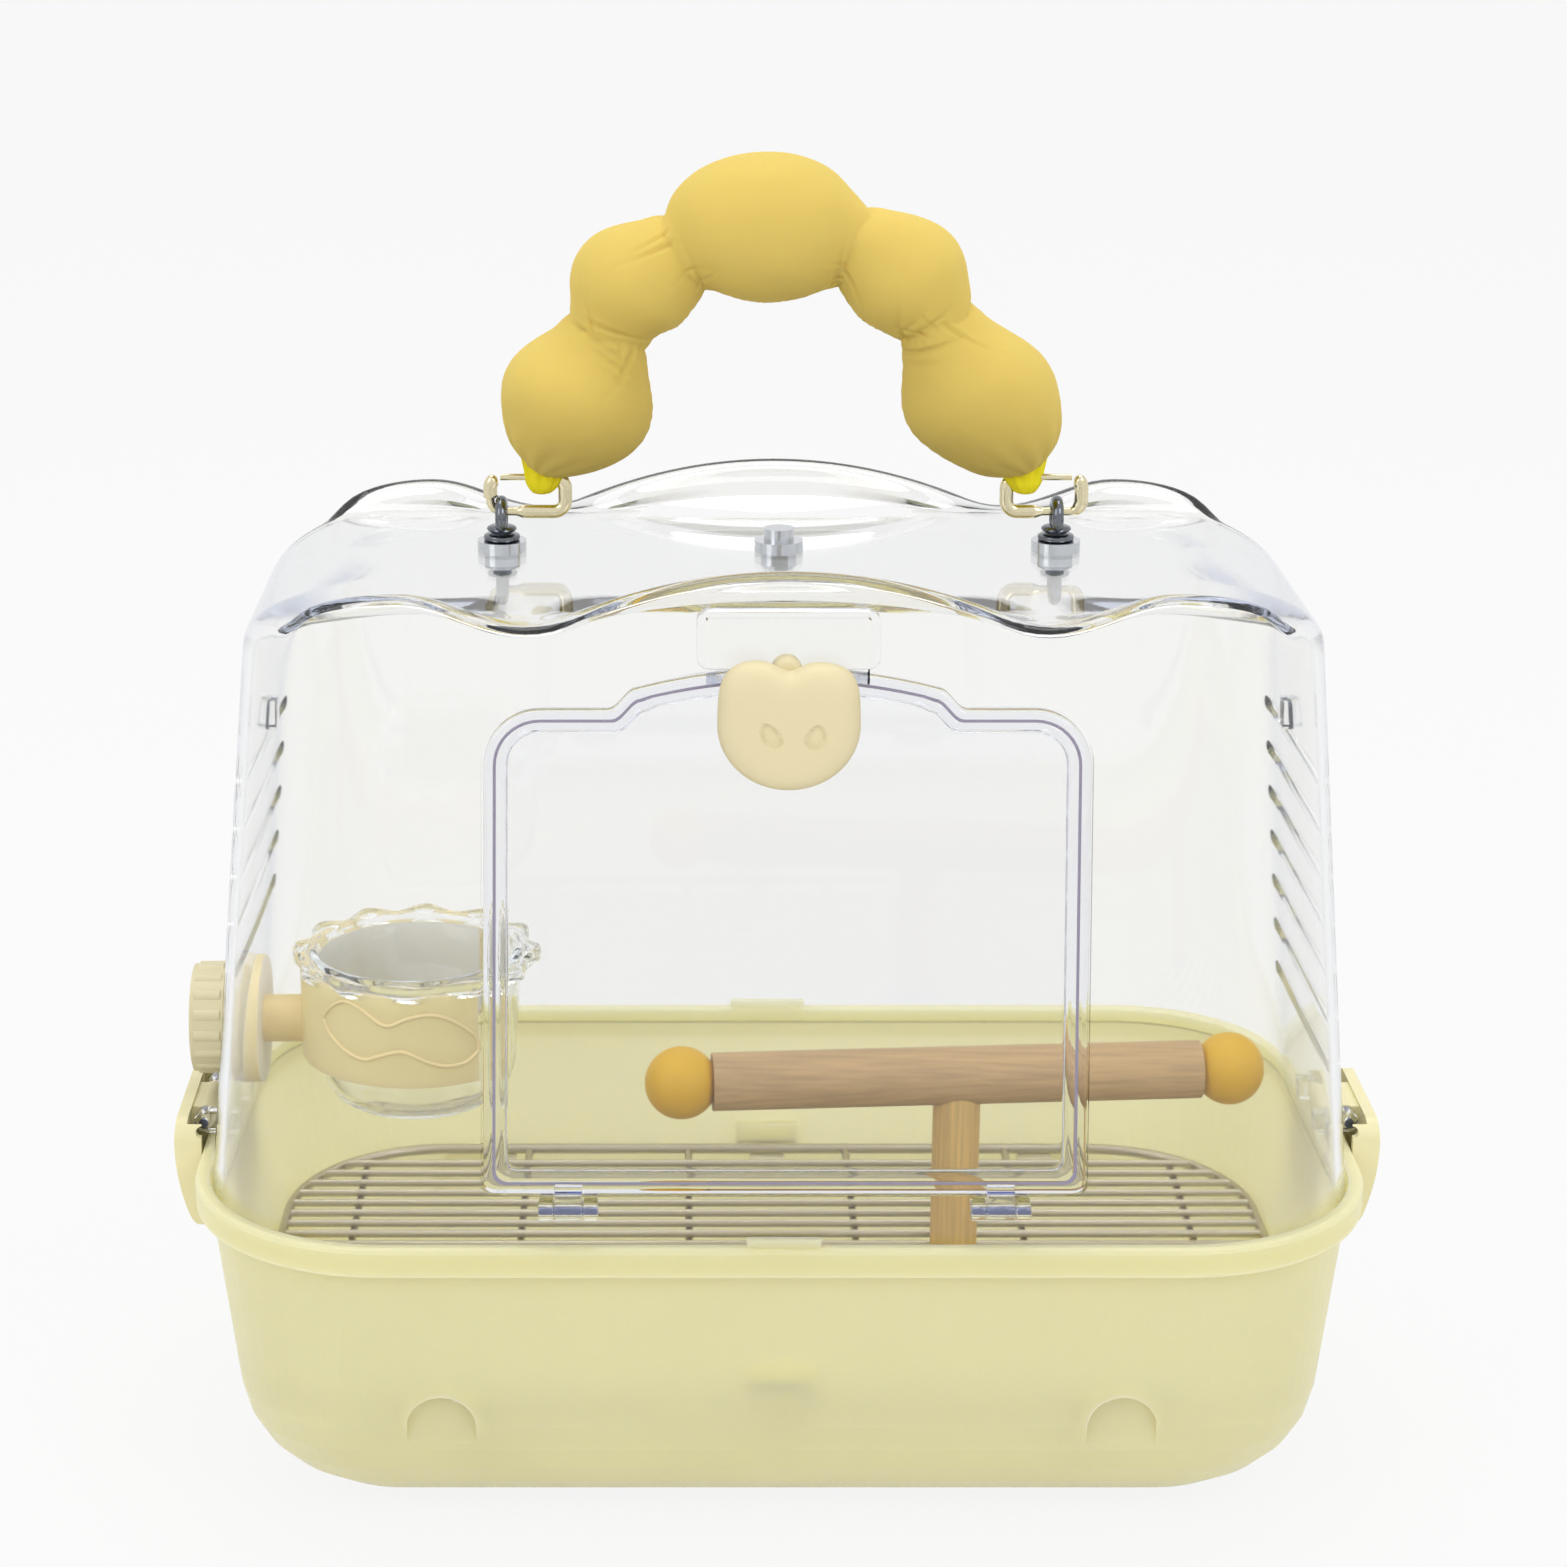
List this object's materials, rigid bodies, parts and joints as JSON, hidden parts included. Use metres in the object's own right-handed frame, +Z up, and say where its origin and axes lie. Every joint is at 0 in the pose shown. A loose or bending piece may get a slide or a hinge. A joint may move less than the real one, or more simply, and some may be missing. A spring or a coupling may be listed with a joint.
{
  "type": "bird travel carrier",
  "caption": "Small-bird travel carrier: moulded tub, clear lift-off cover with drop-down door, side latches, wire grate with perch, feeder cup and stuffed carry handle.",
  "frame": {"origin": "on the table under the middle of the carrier", "axes": "+X to the right seen from the door side, +Y from the door towards the back wall, +Z up"},
  "size_m": [0.3254, 0.1753, 0.353],
  "materials": {
    "tub_plastic": "soft satin",
    "clear_cover": "clear, polished",
    "clear_door": "clear, polished",
    "pin_steel": "smooth",
    "knob_plastic": "satin",
    "screw_steel": "smooth",
    "latch_plastic": "satin",
    "grate_steel": "electropolished wire",
    "perch_wood": "bare beech",
    "ball_plastic": "satin",
    "holder_plastic": "satin",
    "clear_cup": "clear, polished",
    "nut_plastic": "satin",
    "washer_rubber": "matt",
    "stud_chrome": "dark bright plating",
    "bright_chrome": "bright plating",
    "handle_fabric": "fine plain weave, stuffed",
    "tie_fabric": "smooth braid",
    "snap_metal": "bright, warm plating"
  },
  "bodies": {
    "tub": {"tub": "tub_plastic"},
    "grate": {"grate_frame": "grate_steel", "grate_wires": "grate_steel", "perch_post": "perch_wood", "perch_bar": "perch_wood", "perch_ball_left": "ball_plastic", "perch_ball_right": "ball_plastic", "perch_screw": "screw_steel", "perch_washer": "screw_steel"},
    "cover": {"cover_shell": "clear_cover", "door_hinge_pins": "pin_steel", "side_latch_pins": "pin_steel", "feeder_holder": "holder_plastic", "feeder_washer": "washer_rubber", "handle_stud_left": "stud_chrome", "handle_stud_right": "stud_chrome", "toy_hook": "bright_chrome", "stud_washers": "bright_chrome", "stud_nuts": "bright_chrome"},
    "door": {"door_panel": "clear_door"},
    "door_latch": {"latch_knob": "knob_plastic", "latch_screw": "screw_steel"},
    "latch_left": {"side_latch_left": "latch_plastic"},
    "latch_right": {"side_latch_right": "latch_plastic"},
    "cup": {"feeder_cup": "clear_cup"},
    "hand_nut": {"feeder_nut": "nut_plastic"},
    "handle": {"handle_puff_low_left": "handle_fabric", "handle_puff_mid_left": "handle_fabric", "handle_puff_top": "handle_fabric", "handle_puff_mid_right": "handle_fabric", "handle_puff_low_right": "handle_fabric", "handle_tie_left": "tie_fabric", "handle_tie_right": "tie_fabric", "snap_ring_left": "snap_metal", "snap_ring_right": "snap_metal"},
    "gate_left": {"snap_gate_left": "snap_metal"},
    "gate_right": {"snap_gate_right": "snap_metal"}
  },
  "joints": [
    {"name": "cover_lift", "type": "slide", "parent": "tub", "child": "cover", "axis": [0, 0, 1], "range_m": [0, 0.1]},
    {"name": "grate_lift", "type": "slide", "parent": "tub", "child": "grate", "axis": [0, 0, 1], "range_m": [0, 0.03]},
    {"name": "door_swing", "type": "hinge", "parent": "cover", "child": "door", "pos_m": [0, -0.08483, 0.0975], "axis": [1, 0, 0], "range_deg": [0, 90]},
    {"name": "knob_turn", "type": "hinge", "parent": "door", "child": "door_latch", "pos_m": [0, -0.07101, 0.223], "axis": [0, -0.9962, 0.0866], "range_deg": [0, 90]},
    {"name": "latch_left_open", "type": "hinge", "parent": "cover", "child": "latch_left", "pos_m": [-0.1555, 0, 0.0918], "axis": [0, 1, 0], "range_deg": [0, 90]},
    {"name": "latch_right_open", "type": "hinge", "parent": "cover", "child": "latch_right", "pos_m": [0.1555, 0, 0.0918], "axis": [0, -1, 0], "range_deg": [0, 90]},
    {"name": "cup_lift", "type": "slide", "parent": "cover", "child": "cup", "axis": [0, 0, 1], "range_m": [0, 0.05]},
    {"name": "nut_spin", "type": "hinge", "parent": "cover", "child": "hand_nut", "pos_m": [-0.155, 0, 0.117], "axis": [-1, 0, 0], "continuous": true},
    {"name": "handle_swing", "type": "hinge", "parent": "cover", "child": "handle", "pos_m": [0, 0.012, 0.2545], "axis": [1, 0, 0], "range_deg": [-60, 60]},
    {"name": "gate_left_open", "type": "hinge", "parent": "handle", "child": "gate_left", "pos_m": [-0.0653, 0.012, 0.2649], "axis": [0, -1, 0], "range_deg": [0, 20], "stiffness_Nm_per_rad": 0.0005, "springref_deg": -11.46},
    {"name": "gate_right_open", "type": "hinge", "parent": "handle", "child": "gate_right", "pos_m": [0.0688, 0.012, 0.2649], "axis": [0, 1, 0], "range_deg": [0, 20], "stiffness_Nm_per_rad": 0.0005, "springref_deg": -11.46}
  ]
}
